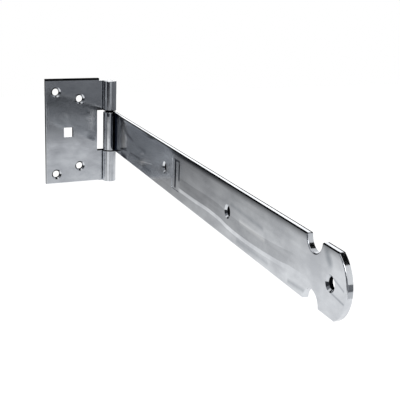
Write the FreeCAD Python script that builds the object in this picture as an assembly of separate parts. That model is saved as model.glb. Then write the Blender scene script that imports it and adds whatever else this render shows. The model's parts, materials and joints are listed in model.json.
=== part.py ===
import FreeCAD, Part
import math
import os

from FreeCAD import Vector

# Heavy tee hinge in three pieces: a plate leaf with two outer knuckles, a long strap leaf with one middle
# knuckle, and a straight pin. Each leaf is one strip of steel whose end is rolled forward round the pin.
# Millimetres. +Z runs up along the pin, +X runs across the plate towards the pin, and -Y is the front.
# The origin is the centre of the square bolt hole, on the plate's back face.

# Strip and pin
sheet_t = 5.0
pin_d = 7.0
pin_clearance = 0.075
pin_end_chamfer = 0.6
edge_roll = 1.0
edge_break = 0.5
corner_round = 1.2

# Plate leaf
plate_height = 136.0
plate_width = 85.0
knuckle_top_step = 3.0
window_gap = 7.4
shoulder_step = 2.5
plate_seam_gap = 2.0
knuckle_play = 2.6
strap_rest_gap = 0.5

# Strap leaf
strap_length = 600.0
strap_width = 50.0
notch_radius = 11.2
notch_from_tip = 47.6
tip_crown = 14.3
strap_seam_gap = 1.0
strap_open_deg = 96.5

# Fixing holes
screw_hole_d = 9.0
screw_sink_d = 13.0
square_hole = 12.5
square_from_edge = 30.0
square_below_middle = 1.0
outer_column_from_edge = 13.6
outer_column_pitch = 107.0
inner_column_from_edge = 45.3
inner_column_pitch = 88.5
columns_below_middle = 2.3
first_strap_hole = 220.0
middle_strap_hole = 396.0
last_hole_from_tip = 22.0

# Blank pressed panel across the strap
panel_centre = 255.3
panel_length = 23.5
panel_height = 32.0
panel_depth = 0.5
panel_corner = 1.5

# Places worked out from the sizes above
pin_r = pin_d / 2
plate_curl_in = pin_r
plate_curl_out = plate_curl_in + sheet_t
strap_curl_in = pin_r + pin_clearance
strap_curl_out = strap_curl_in + sheet_t
plate_left = -square_from_edge
plate_middle = square_below_middle
plate_top = plate_middle + plate_height / 2
plate_bottom = plate_middle - plate_height / 2
columns_middle = plate_middle - columns_below_middle
pin_x = plate_left + plate_width
pin_y = -plate_curl_out
window_reach = strap_curl_out + window_gap
window_left = pin_x - window_reach
shoulder_x = window_left + shoulder_step
window_top = plate_middle + (strap_width + knuckle_play) / 2
window_bottom = plate_middle - (strap_width + knuckle_play) / 2
strap_middle = window_bottom + strap_rest_gap + strap_width / 2
knuckle_top = plate_top - knuckle_top_step
sink_depth = (screw_sink_d - screw_hole_d) / 2

# How far a cutter runs past a face, and how close two places are to count as one
cut_margin = 5.0
same_place = 1e-6


def polar(radius, degrees):
    """Point on a circle round the pin's axis, in the XY plane."""
    angle = math.radians(degrees)
    return Vector(radius * math.cos(angle), radius * math.sin(angle), 0)


def box(low, high):
    """Box between two opposite corners."""
    size = high - low
    return Part.makeBox(size.x, size.y, size.z, low)


def curled_strip(curl_in, seam_gap, reach, low_z, high_z):
    """Strip that runs in from -X along the back and is rolled forward round the axis at X = 0, Y = 0."""
    curl_out = curl_in + sheet_t
    end_rise = math.degrees(math.asin((curl_in - seam_gap) / curl_out))
    start = 90
    end = -180 - end_rise
    middle = (start + end) / 2
    edges = [
        Part.Arc(polar(curl_out, start), polar(curl_out, middle), polar(curl_out, end)),
        Part.LineSegment(polar(curl_out, end), polar(curl_in, end)),
        Part.Arc(polar(curl_in, end), polar(curl_in, middle), polar(curl_in, start)),
        Part.LineSegment(polar(curl_in, start), polar(curl_out, start)),
    ]
    outline = Part.Wire([edge.toShape() for edge in edges])
    curl = Part.Face(outline).extrude(Vector(0, 0, high_z - low_z))
    curl.translate(Vector(0, 0, low_z))
    outer_edges = [edge for edge in curl.Edges if on_curl_outside(edge, curl_out, end)]
    curl = curl.makeFillet(edge_break, outer_edges)
    straight = box(Vector(-reach, curl_in, low_z), Vector(0, curl_out, high_z))
    return straight.fuse(curl)


def on_curl_outside(edge, curl_out, end):
    """True for the rims of the curl's outside, and for the outer edge of its sheared end."""
    last = polar(curl_out, end)
    on_rim = isinstance(edge.Curve, Part.Circle) and abs(edge.Curve.Radius - curl_out) < same_place
    return on_rim or all(math.hypot(v.X - last.x, v.Y - last.y) < same_place for v in edge.Vertexes)


def roll_front_edges(flat, front_y, keep_x):
    """Rounds the edges of a strip's front face, apart from the one at X = keep_x that joins the knuckle."""
    chosen = []
    for edge in flat.Edges:
        bound = edge.BoundBox
        on_front = abs(bound.YMin - front_y) < same_place and abs(bound.YMax - front_y) < same_place
        at_knuckle = abs(bound.XMin - keep_x) < same_place and abs(bound.XMax - keep_x) < same_place
        if on_front and not at_knuckle:
            chosen.append(edge)
    return flat.makeFillet(edge_roll, chosen)


def screw_hole(x, z, front_y):
    """Countersunk screw hole through a strip whose front face is at front_y."""
    along_y = Vector(0, 1, 0)
    start = Vector(x, front_y - cut_margin, z)
    drill = Part.makeCylinder(screw_hole_d / 2, sheet_t + 2 * cut_margin, start, along_y)
    mouth_r = screw_sink_d / 2 + cut_margin
    sink = Part.makeCone(mouth_r, screw_hole_d / 2, sink_depth + cut_margin, start, along_y)
    return drill.fuse(sink)


def through_plate(low_x, high_x, low_z, high_z):
    """Cutter for a rectangular opening through the plate."""
    return box(Vector(low_x, -sheet_t - cut_margin, low_z), Vector(high_x, cut_margin, high_z))


def plate_flat():
    """Flat of the plate from its free edge to the shoulder where the knuckle strips begin."""
    flat = box(Vector(plate_left, -sheet_t, plate_bottom), Vector(shoulder_x, 0, plate_top))
    return roll_front_edges(flat, -sheet_t, shoulder_x)


def plate_knuckle(low_z, high_z):
    """One outer knuckle with the strip that joins it to the plate."""
    knuckle = curled_strip(plate_curl_in, plate_seam_gap, pin_x - shoulder_x, low_z, high_z)
    knuckle.translate(Vector(pin_x, pin_y, 0))
    return knuckle


def plate_leaf():
    """Plate with two knuckles, a window for the strap's knuckle, four screw holes and a square bolt hole."""
    upper = plate_knuckle(window_top, knuckle_top)
    lower = plate_knuckle(plate_bottom, window_bottom)
    leaf = plate_flat().fuse([upper, lower]).removeSplitter()
    half_square = square_hole / 2
    cutters = [
        through_plate(window_left, pin_x, window_bottom, window_top),
        through_plate(-half_square, half_square, -half_square, half_square),
    ]
    for from_edge, pitch in (
        (outer_column_from_edge, outer_column_pitch),
        (inner_column_from_edge, inner_column_pitch),
    ):
        for side in (-1, 1):
            z = columns_middle + side * pitch / 2
            cutters.append(screw_hole(plate_left + from_edge, z, -sheet_t))
    return leaf.cut(cutters)


def strap_blank():
    """Flat of the strap along +X from the pin, with the two half round notches and the rounded head."""
    front_y = strap_curl_in
    half = strap_width / 2
    start_x = strap_curl_out
    notch_x = strap_length - notch_from_tip
    head_x = strap_length - tip_crown

    def edge_point(x, z):
        return Vector(x, front_y, z)

    edges = [Part.LineSegment(edge_point(start_x, half), edge_point(start_x, -half))]
    for side in (-1, 1):
        notch_start = edge_point(notch_x - notch_radius, side * half)
        notch_deep = edge_point(notch_x, side * (half - notch_radius))
        notch_end = edge_point(notch_x + notch_radius, side * half)
        edges.append(Part.LineSegment(edge_point(start_x, side * half), notch_start))
        edges.append(Part.Arc(notch_start, notch_deep, notch_end))
        edges.append(Part.LineSegment(notch_end, edge_point(head_x, side * half)))
    edges.append(Part.Arc(edge_point(head_x, -half), edge_point(strap_length, 0), edge_point(head_x, half)))
    ordered = Part.__sortEdges__([edge.toShape() for edge in edges])
    blank = Part.Face(Part.Wire(ordered)).extrude(Vector(0, sheet_t, 0))
    across = [edge for edge in blank.Edges if abs(edge.BoundBox.YLength - sheet_t) < same_place]
    corners = [edge for edge in across if edge.BoundBox.XMin > start_x + same_place]
    return roll_front_edges(blank.makeFillet(corner_round, corners), front_y, start_x)


def pressed_panel():
    """Blank rectangle that is pressed a little way into the strap's front."""
    low = Vector(panel_centre - panel_length / 2, strap_curl_in - cut_margin, -panel_height / 2)
    high = Vector(panel_centre + panel_length / 2, strap_curl_in + panel_depth, panel_height / 2)
    panel = box(low, high)
    depth = high.y - low.y
    across = [edge for edge in panel.Edges if abs(edge.BoundBox.YLength - depth) < same_place]
    return panel.makeFillet(panel_corner, across)


def strap_leaf():
    """Strap with its middle knuckle, swung forward round the pin and resting low in the plate's window."""
    half = strap_width / 2
    knuckle = curled_strip(strap_curl_in, strap_seam_gap, strap_curl_out, -half, half)
    knuckle = knuckle.mirror(Vector(0, 0, 0), Vector(1, 0, 0))
    leaf = strap_blank().fuse(knuckle).removeSplitter()
    places = [first_strap_hole, middle_strap_hole, strap_length - last_hole_from_tip]
    holes = [screw_hole(x, 0, strap_curl_in) for x in places]
    leaf = leaf.cut(holes + [pressed_panel()])
    leaf.rotate(Vector(0, 0, 0), Vector(0, 0, 1), -strap_open_deg)
    leaf.translate(Vector(pin_x, pin_y, strap_middle))
    return leaf


def hinge_pin():
    """Straight pin, flush with both outer knuckles, with chamfered ends."""
    pin = Part.makeCylinder(pin_r, knuckle_top - plate_bottom, Vector(pin_x, pin_y, plate_bottom))
    rims = [edge for edge in pin.Edges if edge.BoundBox.ZLength < same_place]
    return pin.makeChamfer(pin_end_chamfer, rims)


def main():
    os.makedirs("parts", exist_ok=True)
    for name, make in (("plate_leaf", plate_leaf), ("strap_leaf", strap_leaf), ("hinge_pin", hinge_pin)):
        solid = make()
        if solid.ShapeType == "Compound" and len(solid.Solids) == 1:
            solid = solid.Solids[0]
        print(name, "solids", len(solid.Solids), "valid", solid.isValid(), "volume", round(solid.Volume, 1))
        solid.exportStep("parts/" + name + ".step")


main()
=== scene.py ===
import json
import math
import bmesh
import bpy
from mathutils import Matrix, Vector


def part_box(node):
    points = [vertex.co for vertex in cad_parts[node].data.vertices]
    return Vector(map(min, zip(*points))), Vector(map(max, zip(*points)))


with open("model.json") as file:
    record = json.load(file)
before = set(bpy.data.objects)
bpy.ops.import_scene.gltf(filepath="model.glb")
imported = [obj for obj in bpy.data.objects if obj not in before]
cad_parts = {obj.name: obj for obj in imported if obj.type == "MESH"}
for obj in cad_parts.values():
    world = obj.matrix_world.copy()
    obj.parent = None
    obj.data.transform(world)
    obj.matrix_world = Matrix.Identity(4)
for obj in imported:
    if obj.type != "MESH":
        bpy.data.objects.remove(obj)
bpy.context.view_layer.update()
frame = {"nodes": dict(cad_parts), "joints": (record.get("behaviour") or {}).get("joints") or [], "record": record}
mm = 0.001

# Heavy tee hinge in bright zinc plated steel: a plate, a long strap and the pin between them. All three
# keep the frame's own shapes, and this script gives them their finish, the light and the camera.


def hexColour(text):   # sRGB hex to the linear colour that the shaders want, by sRGB's own formula
    linear = []
    for place in (1, 3, 5):
        level = int(text[place:place + 2], 16) / 255
        linear.append(level / 12.92 if level <= 0.04045 else ((level + 0.055) / 1.055) ** 2.4)
    return (*linear, 1.0)


# One node, its settings and what feeds it: a socket, or a node whose first working output is taken.
# A socket goes by its name, or by its number where several share a name.
def addNode(tree, kind, settings=None, links=None):
    node = tree.nodes.new(kind)
    for name, value in (settings or {}).items():
        if isinstance(name, str) and hasattr(node, name):
            setattr(node, name, value)
        else:
            node.inputs[name].default_value = value
    for name, source in (links or {}).items():
        if isinstance(source, bpy.types.Node):
            source = next(output for output in source.outputs if output.enabled)
        tree.links.new(source, node.inputs[name])
    return node


def newMaterial(name):
    material = bpy.data.materials.new(name)
    material.use_nodes = True
    material.node_tree.nodes.clear()
    return material


# Places read from the record: the hinge turns on the joint, the strap's back faces along its mount's axis,
# and each screw hole has an opening that is centred on it
record = frame["record"]
mounts = {mount["name"]: mount for mount in record["mounts"]}
openingBoxes = {opening["name"]: opening["box_m"] for opening in record["physics"]["openings"]}
windowLow, windowHigh = openingBoxes["knuckle_window"]
holeRadius = mounts["strap_end_screws"]["dims"]["hole_r_mm"] * mm
pinPlace = Vector(frame["joints"][0]["pos_m"])
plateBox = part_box("plate_leaf")
plateCentre = Vector((0, 0, 0))
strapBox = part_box("strap_leaf")
strapCentre = Vector((pinPlace.x, pinPlace.y, (strapBox[0].z + strapBox[1].z) / 2))
strapNormal = Vector(mounts["strap_back"]["axis"])
strapTurn = math.atan2(-strapNormal.x, strapNormal.y)
strapBack = (Vector(mounts["strap_back"]["pos_m"]) - pinPlace).dot(strapNormal)   # behind the pin's axis
stripThickness = 5.0 * mm
strapFront = strapBack - stripThickness


# Each pattern is drawn in its piece's own space, in metres: X along the strip, Z across it, Y through it.
# A share runs from 0 to 1 and says how much of a mark or a finish there is at a point.
throughStrip = (1, 0, 1)   # a round that is the same all the way through the strip
upThePin = (1, 1, 0)       # a round that is the same all the way up the pin
farOff = 1.0               # past the hinge's own ends, for a mark with an open side


def pieceSpace(tree, turn, centre):
    place = addNode(tree, "ShaderNodeTexCoord").outputs["Object"]
    shifted = addNode(tree, "ShaderNodeVectorMath", {"operation": "SUBTRACT", 1: centre}, {0: place})
    turned = {"vector_type": "POINT", "Rotation": (0, 0, -turn)}
    return addNode(tree, "ShaderNodeMapping", turned, {"Vector": shifted})


def combined(tree, how, shares):   # MAXIMUM where any of them is there, MULTIPLY where all of them are
    result = shares[0]
    for share in shares[1:]:
        result = addNode(tree, "ShaderNodeMath", {"operation": how}, {0: result, 1: share})
    return result


def grain(tree, space, along, across, detail, shift=0.0):   # noise in flecks of `along` by `across`
    flecks = {1: (1 / along, 1 / across, 1 / across), 2: (shift, shift, shift)}
    scaled = addNode(tree, "ShaderNodeVectorMath", {"operation": "MULTIPLY_ADD", **flecks}, {0: space})
    noise = {"Scale": 1.0, "Detail": detail, "Roughness": zincPlate["grainRoughness"]}
    return addNode(tree, "ShaderNodeTexNoise", noise, {"Vector": scaled})


def stretch(tree, source, low, lowFull, highFull, high):   # 0 outside low and high, 1 in the full part
    rising = {"From Min": low, "From Max": lowFull}
    falling = {"From Min": highFull, "From Max": high, "To Min": 1.0, "To Max": 0.0}
    return combined(tree, "MULTIPLY", [addNode(tree, "ShaderNodeMapRange", limits, {"Value": source})
                                       for limits in (rising, falling)])


def between(tree, source, low, high, soft):   # 1 between two values and 0 outside them, over a soft edge
    return stretch(tree, source, low - soft, low + soft, high - soft, high + soft)


def insideBox(tree, space, alongLimits, acrossLimits, soft):   # 1 in a part of the strip, right through it
    parts = addNode(tree, "ShaderNodeSeparateXYZ", {}, {"Vector": space}).outputs
    return combined(tree, "MULTIPLY", [between(tree, parts["X"], *alongLimits, soft),
                                       between(tree, parts["Z"], *acrossLimits, soft)])


def insideRound(tree, space, centre, spread, radius, soft):   # 1 within a radius of a place or a line
    offset = addNode(tree, "ShaderNodeVectorMath", {"operation": "SUBTRACT", 1: centre}, {0: space})
    flat = addNode(tree, "ShaderNodeVectorMath", {"operation": "MULTIPLY", 1: spread}, {0: offset})
    away = addNode(tree, "ShaderNodeVectorMath", {"operation": "LENGTH"}, {0: flat})
    falling = {"From Min": radius - soft, "From Max": radius + soft, "To Min": 1.0, "To Max": 0.0}
    return addNode(tree, "ShaderNodeMapRange", falling, {"Value": away})


# Bright zinc plate is a few microns of zinc from a bath, clear passivated, over rolled steel strip. It
# mirrors like a slightly hazy glass, is faintly blue, goes cloudy where it was handled, and shows the
# strip's own waves. In the screw holes, between the knuckles and along some edges, a dark, rougher tone is
# painted shade.
zincPlate = {
    # The bright and cloudy tones are the zinc's own; the dark tone, with its roughness, is painted shade
    "bright": "#CDD0D4", "cloudy": "#B4B7BC", "bare": "#121315",
    "glancing": "#FFFFFF",   # clean zinc keeps its full shine at a glancing view
    "cloudAlong": 30 * mm, "cloudAcross": 16 * mm, "cloudDetail": 5.0, "cloudFrom": 0.36, "cloudTo": 0.66,
    "roughLow": 0.07, "roughHigh": 0.16, "roughFrom": 0.3, "roughTo": 0.7, "bareRough": 0.5,
    "millAlong": 60 * mm, "millAcross": 1.3 * mm,   # rolling lines, ten times coarser so that they show
    "millDetail": 2.0, "millHeight": 0.0012 * mm,
    "grainRoughness": 0.55, "boreSoft": 0.15 * mm,
}


def boreShares(tree, space, start, turn, centre):   # 1 in each screw hole whose opening's name starts so
    soft = zincPlate["boreSoft"]
    shares = []
    for name, (low, high) in openingBoxes.items():
        if name.startswith(start) and name.endswith("screw_way"):
            hole = Matrix.Rotation(-turn, 3, "Z") @ ((Vector(low) + Vector(high)) / 2 - centre)
            shares.append(insideRound(tree, space, hole, throughStrip, holeRadius + soft, soft))
    return shares


def laidOver(tree, first, layers):   # tones laid one by one over a first one
    under = {}
    for blend, tone, share in layers:
        settings = {"data_type": "RGBA", "blend_type": blend, "A": hexColour(first), "B": hexColour(tone)}
        under = {"A": addNode(tree, "ShaderNodeMix", settings, {"Factor": share, **under})}
    return under["A"]


# Scuffs, painted highlights among them, and stains, painted shade among them, are pairs of a tone and a
# share, and reliefs are pairs of a depth and a height
def zincFinish(tree, space, waves, shadeShares, scuffsAndHighlights=(), stainsAndShade=(), reliefs=()):
    look = zincPlate
    clouds = grain(tree, space, look["cloudAlong"], look["cloudAcross"], look["cloudDetail"])
    cloudLimits = {"From Min": look["cloudFrom"], "From Max": look["cloudTo"]}
    cloudShare = addNode(tree, "ShaderNodeMapRange", cloudLimits, {"Value": clouds})
    # Painted shade: the dark tone and its roughness wherever any of these shares is
    bare = combined(tree, "MAXIMUM", shadeShares)
    hazes = [("MIX", look["cloudy"], cloudShare)] + [("MIX", tone, share) for tone, share in scuffsAndHighlights]
    darks = [("MULTIPLY", tone, share) for tone, share in stainsAndShade] + [("MIX", look["bare"], bare)]
    colour = laidOver(tree, look["bright"], hazes + darks)
    glancing = laidOver(tree, look["glancing"], darks)   # stains and painted shade stay dark at a glancing view too
    roughLimits = {"From Min": look["roughFrom"], "From Max": look["roughTo"],
                   "To Min": look["roughLow"], "To Max": look["roughHigh"]}
    plated = addNode(tree, "ShaderNodeMapRange", roughLimits, {"Value": clouds})
    rough = addNode(tree, "ShaderNodeMix", {"B": look["bareRough"]}, {"Factor": bare, "A": plated})

    wavy = grain(tree, space, waves["along"], waves["across"], waves["detail"], waves["shift"])
    milled = grain(tree, space, look["millAlong"], look["millAcross"], look["millDetail"])
    normal = {}   # each relief lies on the ones before it
    for depth, height in [(waves["height"], wavy), *reliefs, (look["millHeight"], milled)]:
        relief = {"Strength": 1.0, "Distance": depth}
        normal = {"Normal": addNode(tree, "ShaderNodeBump", relief, {"Height": height, **normal})}

    shader = addNode(tree, "ShaderNodeBsdfPrincipled", {"Metallic": 1.0},
                     {"Base Color": colour, "Specular Tint": glancing, "Roughness": rough, **normal})
    addNode(tree, "ShaderNodeOutputMaterial", {}, {"Surface": shader})


# The plate: painted shade in its screw holes, on its sheared top edge and on the faces round the window
plateLook = {
    "waves": {"along": 90 * mm, "across": 40 * mm, "height": 0.03 * mm, "shift": 0.0, "detail": 1.0},
    "cutEdge": 2.3 * mm, "windowLip": 1.2 * mm, "soft": 0.08 * mm,
}


def zincOnPlate():
    look = plateLook
    material = newMaterial("zincOnRolledPlate")
    tree = material.node_tree
    space = pieceSpace(tree, 0.0, plateCentre)
    # Painted shade: a dark tone in the screw holes, along the top edge and on the faces round the window
    bare = boreShares(tree, space, ("outer_", "inner_"), 0.0, plateCentre)
    topEdge = (plateBox[1].z - look["cutEdge"], farOff)
    bare.append(insideBox(tree, space, (-farOff, farOff), topEdge, look["soft"]))
    window = (windowLow[2] - look["windowLip"], windowHigh[2] + look["windowLip"])
    bare.append(insideBox(tree, space, (windowLow[0], farOff), window, look["soft"]))
    zincFinish(tree, space, look["waves"], bare)
    return material


# The strap: a long crease below its middle, a top edge that falls away with painted shade in dark lines,
# painted shade towards the knuckle and in the corners round the blank pressed panel, painted highlights on
# the panel's walls, and marks from handling
strapLook = {
    "waves": {"along": 260 * mm, "across": 15 * mm, "height": 0.13 * mm, "shift": 3.1, "detail": 2.0},
    "creasePath": [   # along the strap, and below its middle, in mm
        (262, 13.0), (270, 12.9), (311, 12.5), (349, 11.6), (379, 12.2), (396, 14.0),
        (425, 14.9), (454, 14.4), (481, 13.2), (502, 11.7), (525, 9.6),
    ],
    "creaseReach": 600 * mm, "creaseDrop": 30 * mm,   # what the curve's whole width and height stand for
    "creaseStretch": (262 * mm, 272 * mm, 510 * mm, 545 * mm),   # starts, is full, fades, ends
    "creaseHalf": 1.8 * mm, "creaseBack": 13 * mm, "creaseHeight": 0.34 * mm,
    "edgeFrom": 19 * mm, "edgeTo": 25 * mm, "edgeFall": 0.34 * mm, "edgeCurve": 2.0,
    # Painted shade in dark lines on the top edge's corners: above this height, and from and to this depth behind
    # the front
    "edgeLines": [(24.2 * mm, -0.575 * mm, 1.125 * mm), (24.6 * mm, 3.925 * mm, 5.425 * mm)],
    "edgeSoft": 0.1 * mm,
    "face": (-0.525 * mm, 2.425 * mm), "faceSoft": 0.25 * mm,   # marks stay on the front, not on the back
    # Painted shade inside the knuckle's barrel, within this radius of the pin's axis
    "barrelRadius": 8.0 * mm, "barrelSoft": 0.05 * mm,
    # Painted shade on the front next to the knuckle: full up to the first distance from the pin, gone by the
    # second
    "dullTone": "#85868A", "dullTo": 23 * mm, "cleanFrom": 43 * mm,
    # Painted shade in the corners round the blank pressed panel, and its soft edge
    "toolTone": "#77797E", "toolSoft": 0.9 * mm,
    "tools": [   # along, and above the middle
        ((252.0 * mm, 256.0 * mm), (-14.0 * mm, 16.0 * mm)),
        ((264.0 * mm, 268.5 * mm), (-4.0 * mm, 14.0 * mm)),
        ((250.5 * mm, 268.5 * mm), (15.0 * mm, 16.8 * mm)),
    ],
    # Each mark in mm: tone, its two ends (along, above the middle), half width and softness. Most are from
    # handling; the two pale ones across the pressed panel are painted highlights on its walls
    "lightMarks": [
        ("#FFFFFF", (52, 14), (56, -6), 3.5, 5.0), ("#FFFFFF", (60, 5), (71, 1.5), 1.6, 1.2),
        ("#FFFFFF", (130, -13), (176, -6.5), 0.5, 0.6), ("#FFFFFF", (132, -4), (143, -1), 1.0, 1.0),
        # These two pale lines across the pressed panel are painted highlights on its walls
        ("#F4F5F6", (259, 14), (261, -12), 0.9, 0.8), ("#D8DADD", (246, 14), (246.5, -13), 1.2, 0.8),
        ("#E2E4E6", (424, -1), (472, -2.5), 1.2, 1.6),
    ],
    "darkMarks": [
        ("#9A9CA0", (48, -22), (66, -23), 3.0, 3.0), ("#8E9094", (63, 13), (76, 8), 0.7, 1.6),
        ("#B4B6BA", (76, 8), (98, 5.5), 0.5, 2.0), ("#B0B2B6", (44, -15), (72, -12), 0.6, 1.8),
        ("#B8BABD", (86, -12.5), (127, -10.5), 0.5, 2.2), ("#C8CACD", (140, -18), (170, -15), 1.2, 3.4),
        ("#D4D6D8", (126, 3.5), (150, 2), 0.5, 2.2), ("#DCDEE0", (404, 8.5), (468, 6), 0.6, 2.4),
        ("#DADCDE", (420, -19.5), (480, -19.5), 0.8, 2.6), ("#CCCED0", (518, -20.5), (545, -19), 0.8, 2.0),
        ("#D6D8DA", (571, 20), (576, 14), 3.0, 2.0), ("#CACCCF", (583, 5), (596, 1), 0.5, 0.7),
        ("#C8CACD", (580, -6), (597, -8), 0.5, 0.7),
    ],
    "markFlatness": 4.0,   # keeps a mark from reaching through to the back
}


def creaseHeight(tree, parts):   # climbs sharply across the path, then falls slowly towards the middle
    look = strapLook
    reach = {"From Min": 0.0, "From Max": look["creaseReach"]}
    share = addNode(tree, "ShaderNodeMapRange", reach, {"Value": parts["X"]})
    path = addNode(tree, "ShaderNodeFloatCurve", {}, {"Value": share})
    points = [(along * mm / look["creaseReach"], below * mm / look["creaseDrop"])
              for along, below in look["creasePath"]]
    curve = path.mapping.curves[0]
    curve.points[0].location = (0.0, points[0][1])
    curve.points[1].location = (1.0, points[-1][1])
    for point in points:
        curve.points.new(*point)
    path.mapping.update()
    above = addNode(tree, "ShaderNodeMath", {"operation": "MULTIPLY_ADD", 1: look["creaseDrop"]},
                    {0: path, 2: parts["Z"]})
    climb = {"From Min": -look["creaseHalf"], "From Max": look["creaseHalf"]}
    descent = {"From Min": look["creaseHalf"], "From Max": look["creaseBack"]}
    climbed, fallen = [addNode(tree, "ShaderNodeMapRange", limits, {"Value": above})
                       for limits in (climb, descent)]
    profile = addNode(tree, "ShaderNodeMath", {"operation": "SUBTRACT"}, {0: climbed, 1: fallen})
    return combined(tree, "MULTIPLY", [profile, stretch(tree, parts["X"], *look["creaseStretch"])])


def edgeHeight(tree, parts):   # falls away faster and faster towards the top edge
    look = strapLook
    limits = {"From Min": look["edgeFrom"], "From Max": look["edgeTo"]}
    share = addNode(tree, "ShaderNodeMapRange", limits, {"Value": parts["Z"]})
    curved = addNode(tree, "ShaderNodeMath", {"operation": "POWER", 1: look["edgeCurve"]}, {0: share})
    return addNode(tree, "ShaderNodeMath", {"operation": "MULTIPLY", 1: -1.0}, {0: curved})


def markShare(tree, space, start, end, half, soft):   # 1 on a line between two places on the strap's front
    first = Vector((start[0] * mm, strapFront, start[1] * mm))
    line = Vector((end[0] * mm, strapFront, end[1] * mm)) - first
    offset = addNode(tree, "ShaderNodeVectorMath", {"operation": "SUBTRACT", 1: first}, {0: space})
    perLength = {"operation": "DOT_PRODUCT", 1: line / line.length_squared}
    reach = addNode(tree, "ShaderNodeVectorMath", perLength, {0: offset})
    held = addNode(tree, "ShaderNodeClamp", {}, {"Value": reach})
    nearest = addNode(tree, "ShaderNodeVectorMath", {"operation": "SCALE", 0: line}, {"Scale": held})
    apart = addNode(tree, "ShaderNodeVectorMath", {"operation": "SUBTRACT"}, {0: offset, 1: nearest})
    return insideRound(tree, apart, (0, 0, 0), (1, strapLook["markFlatness"], 1), half * mm, soft * mm)


def zincOnStrap():
    look = strapLook
    material = newMaterial("zincOnRolledStrap")
    tree = material.node_tree
    space = pieceSpace(tree, strapTurn, strapCentre)
    parts = addNode(tree, "ShaderNodeSeparateXYZ", {}, {"Vector": space}).outputs
    # Painted shade: a dark tone in the screw holes, inside the knuckle's barrel and in two lines on the top edge
    bare = boreShares(tree, space, "strap_", strapTurn, strapCentre)
    bare.append(insideRound(tree, space, (0, 0, 0), upThePin, look["barrelRadius"], look["barrelSoft"]))
    for above, nearest, farthest in look["edgeLines"]:
        depths = (strapFront + nearest, strapFront + farthest)
        bare.append(combined(tree, "MULTIPLY", [between(tree, parts["Z"], above, farOff, look["edgeSoft"]),
                                                between(tree, parts["Y"], *depths, look["edgeSoft"])]))
    face = between(tree, parts["Y"], *[strapFront + depth for depth in look["face"]], look["faceSoft"])
    # Painted shade in the corners round the pressed panel, on the front only
    panelShade = combined(tree, "MAXIMUM", [insideBox(tree, space, *limits, look["toolSoft"])
                                        for limits in look["tools"]])
    # Painted shade on the strap's front, full next to the knuckle and fading out along the strap
    knuckleShadeLimits = {"From Min": look["dullTo"], "From Max": look["cleanFrom"], "To Min": 1.0, "To Max": 0.0}
    knuckleShade = addNode(tree, "ShaderNodeMapRange", knuckleShadeLimits, {"Value": parts["X"]})
    panelShade, knuckleShade, crease = [combined(tree, "MULTIPLY", [share, face])
                            for share in (panelShade, knuckleShade, creaseHeight(tree, parts))]
    # Pale marks, with painted highlights on the pressed panel's walls among them
    scuffsAndHighlights = [(tone, markShare(tree, space, *place)) for tone, *place in look["lightMarks"]]
    stainsAndShade = [(look["toolTone"], panelShade), (look["dullTone"], knuckleShade)]
    stainsAndShade += [(tone, markShare(tree, space, *place)) for tone, *place in look["darkMarks"]]
    reliefs = [(look["creaseHeight"], crease), (look["edgeFall"], edgeHeight(tree, parts))]
    zincFinish(tree, space, look["waves"], bare, scuffsAndHighlights, stainsAndShade, reliefs)
    return material


# The pin: painted shade on its middle between the knuckles, bright at its two ends
pinLook = {"barePast": 2.0 * mm, "soft": 0.1 * mm}   # how far past the window's ends the painted shade reaches


def zincOnPin():
    look = pinLook
    material = newMaterial("zincOnDrawnPin")
    tree = material.node_tree
    space = pieceSpace(tree, 0.0, pinPlace)
    window = (windowLow[2] - look["barePast"], windowHigh[2] + look["barePast"])
    # Painted shade on the pin between the knuckles
    bare = [insideBox(tree, space, (-farOff, farOff), window, look["soft"])]
    zincFinish(tree, space, plateLook["waves"], bare)
    return material


def dressPieces():
    finishes = {"plate_leaf": zincOnPlate(), "strap_leaf": zincOnStrap(), "hinge_pin": zincOnPin()}
    for node, material in finishes.items():
        frame["nodes"][node].data.materials[0] = material
        print("finish on", node)


# Pale floor well below the hinge, which hangs free as if held by its plate
floorSettings = {"below": 1.0, "size": 14.0, "colour": "#F7F7F7", "roughness": 0.9,
                 "fillColour": "#FFFFFF", "fill": 0.26}


def seenShare(tree):   # 1 for what the camera sees, directly or in metal or glass
    path = addNode(tree, "ShaderNodeLightPath").outputs
    rays = ("Is Camera Ray", "Is Glossy Ray", "Is Transmission Ray")
    return combined(tree, "MAXIMUM", [path[ray] for ray in rays])


def makeFloor():
    look = floorSettings
    mesh = bpy.data.meshes.new("floor")
    build = bmesh.new()
    bmesh.ops.create_grid(build, x_segments=1, y_segments=1, size=look["size"] / 2)
    build.to_mesh(mesh)
    build.free()
    floor = bpy.data.objects.new("floor", mesh)
    floor.location.z = -look["below"]
    bpy.context.scene.collection.objects.link(floor)
    material = newMaterial("paleFloor")
    tree = material.node_tree
    # Seen directly or in the metal, the floor is lifted to white; its shadow stays
    fill = addNode(tree, "ShaderNodeMath", {"operation": "MULTIPLY", 1: look["fill"]}, {0: seenShare(tree)})
    paint = {"Base Color": hexColour(look["colour"]), "Roughness": look["roughness"],
             "Emission Color": hexColour(look["fillColour"])}
    shader = addNode(tree, "ShaderNodeBsdfPrincipled", paint, {"Emission Strength": fill})
    addNode(tree, "ShaderNodeOutputMaterial", {}, {"Surface": shader})
    mesh.materials.append(material)
    print("floor", look["below"], "m below")


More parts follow.
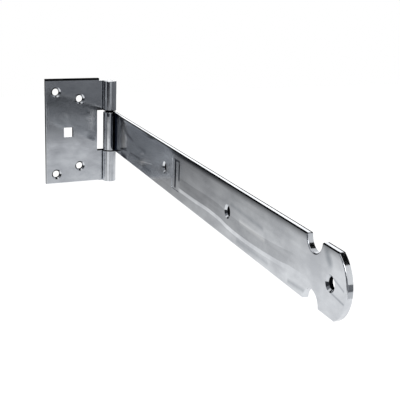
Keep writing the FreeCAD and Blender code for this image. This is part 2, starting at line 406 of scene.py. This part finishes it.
# Studio cards round the hinge that only the metal's reflections see. Each turns in degrees from the front
# (-Y) towards +X, and stands between two heights in metres. A fade is the height over which its lower edge
# thins out, and nearer brings it that much closer to the hinge.
cards = {
    "cardFrontRightLow": dict(start=12, end=62, low=-1.0, high=-0.36, tone="#E2E3E5", nearer=-0.03),
    "cardFrontRight": dict(start=12, end=62, low=-0.46, high=-0.3, tone="#66686C", fade=0.07),
    "cardFrontRightMiddle": dict(start=12, end=62, low=-0.3, high=0.1, tone="#7C7E82"),
    "cardFrontRightUpper": dict(start=26, end=62, low=0.1, high=1.25, tone="#1A1B1C"),
    "cardFront": dict(start=-20, end=12, low=-0.66, high=0.6, tone="#BABCBF", fade=0.24),
    "cardFrontDark": dict(start=-9.4, end=-7.4, low=-0.7, high=-0.36, tone="#626468", nearer=0.05),
    "cardFrontGrey": dict(start=-10.8, end=-9.4, low=-0.7, high=-0.36, tone="#7B7D81", nearer=0.05),
    "cardFrontPale": dict(start=-12.3, end=-10.8, low=-0.7, high=-0.36, tone="#9C9EA2", nearer=0.05),
    "cardFrontLeft": dict(start=-62, end=-20, low=-0.46, high=1.15, tone="#3A3C40", fade=0.16),
    "cardLeft": dict(start=-77, end=-62, low=-0.72, high=1.15, tone="#303235", fade=0.26),
    "cardLeftPale": dict(start=-145, end=-77, low=-0.72, high=1.15, tone="#AEB0B4", fade=0.26),
    "cardLeftUpper": dict(start=-110, end=-42, low=1.15, high=3.2, tone="#8A8C90"),
    "cardRight": dict(start=62, end=128, low=-0.52, high=1.4, tone="#808286", fade=0.05),
    "cardBackRight": dict(start=128, end=165, low=-0.52, high=0.3, tone="#505256", fade=0.05),
    "cardBackRightUpper": dict(start=128, end=172, low=0.3, high=1.3, tone="#FFFFFF", glow=1.7),
    "cardBack": dict(start=172, end=215, low=-1.0, high=1.75, tone="#2A2C2F", fade=0.6),
}
cardBend = {"radius": 2.2, "steps": 24}
ceiling = {"place": (0.95, -1.1, 2.0), "radius": 1.0, "sides": 48, "tone": "#121314"}


def cardCloth(name, settings):
    material = newMaterial(name + "Cloth")
    tree = material.node_tree
    light = {"Color": hexColour(settings["tone"]), "Strength": settings.get("glow", 1.0)}
    cloth = addNode(tree, "ShaderNodeEmission", light)
    if "fade" in settings:
        place = addNode(tree, "ShaderNodeTexCoord").outputs["Object"]
        height = addNode(tree, "ShaderNodeSeparateXYZ", {}, {"Vector": place}).outputs["Z"]
        limits = {"From Min": settings["low"], "From Max": settings["low"] + settings["fade"]}
        solid = addNode(tree, "ShaderNodeMapRange", limits, {"Value": height})
        clear = addNode(tree, "ShaderNodeBsdfTransparent")
        cloth = addNode(tree, "ShaderNodeMixShader", {}, {"Fac": solid, 1: clear, 2: cloth})
    addNode(tree, "ShaderNodeOutputMaterial", {}, {"Surface": cloth})
    return material


def placeCard(name, build, settings):
    mesh = bpy.data.meshes.new(name)
    build.to_mesh(mesh)
    build.free()
    mesh.materials.append(cardCloth(name, settings))
    card = bpy.data.objects.new(name, mesh)
    card.visible_camera = False
    card.visible_diffuse = False
    card.visible_transmission = False
    card.visible_shadow = False
    bpy.context.scene.collection.objects.link(card)


def makeCards():
    for name, settings in cards.items():
        build = bmesh.new()
        columns = []
        radius = cardBend["radius"] - settings.get("nearer", 0.0)
        for step in range(cardBend["steps"] + 1):
            turned = (settings["end"] - settings["start"]) * step / cardBend["steps"]
            angle = math.radians(settings["start"] + turned)
            x = radius * math.sin(angle)
            y = -radius * math.cos(angle)
            columns.append([build.verts.new((x, y, z)) for z in (settings["low"], settings["high"])])
        for first, second in zip(columns, columns[1:]):
            build.faces.new((first[0], second[0], second[1], first[1]))
        placeCard(name, build, settings)
    build = bmesh.new()
    bmesh.ops.create_circle(build, cap_ends=True, radius=ceiling["radius"], segments=ceiling["sides"],
                            matrix=Matrix.Translation(ceiling["place"]))
    placeCard("cardCeiling", build, ceiling)
    print("cards", len(cards) + 1)


# Soft even light: a white surround and one large softbox in front on the left
surround = {"colour": "#FFFFFF", "strength": 0.86, "seen": 1.0}
softbox = {"place": (-1.1, -1.9, 1.5), "size": 1.3, "power": 16.0}


def makeSurround():
    world = bpy.data.worlds.new("surround")
    bpy.context.scene.world = world
    world.use_nodes = True
    tree = world.node_tree
    tree.nodes.clear()
    limits = {"To Min": surround["strength"], "To Max": surround["seen"]}
    strength = addNode(tree, "ShaderNodeMapRange", limits, {"Value": seenShare(tree)})
    colour = {"Color": hexColour(surround["colour"])}
    light = addNode(tree, "ShaderNodeBackground", colour, {"Strength": strength})
    addNode(tree, "ShaderNodeOutputWorld", {}, {"Surface": light})


def makeSoftbox():
    lamp = bpy.data.lights.new("softbox", "AREA")
    lamp.shape = "SQUARE"
    lamp.size = softbox["size"]
    lamp.energy = softbox["power"]
    box = bpy.data.objects.new("softbox", lamp)
    box.location = softbox["place"]
    box.rotation_euler = (-Vector(softbox["place"])).to_track_quat("-Z", "Y").to_euler()
    bpy.context.scene.collection.objects.link(box)


# The camera stands at the plate's left, a little above, as the photograph was taken
cameraSettings = {"place": (-0.33028, -1.00044, 0.19697), "turn": (74.796, -2.14, -27.288),
                  "lens": 72.96, "clipFrom": 0.01}


def makeCamera():
    lens = bpy.data.cameras.new("camera")
    lens.lens = cameraSettings["lens"]
    lens.clip_start = cameraSettings["clipFrom"]
    camera = bpy.data.objects.new("camera", lens)
    camera.location = cameraSettings["place"]
    camera.rotation_euler = [math.radians(angle) for angle in cameraSettings["turn"]]
    bpy.context.scene.collection.objects.link(camera)
    bpy.context.scene.camera = camera


dressPieces()
makeFloor()
makeCards()
makeSurround()
makeSoftbox()
makeCamera()
bpy.context.scene.view_settings.view_transform = "Standard"
print("stage, light and camera ready")
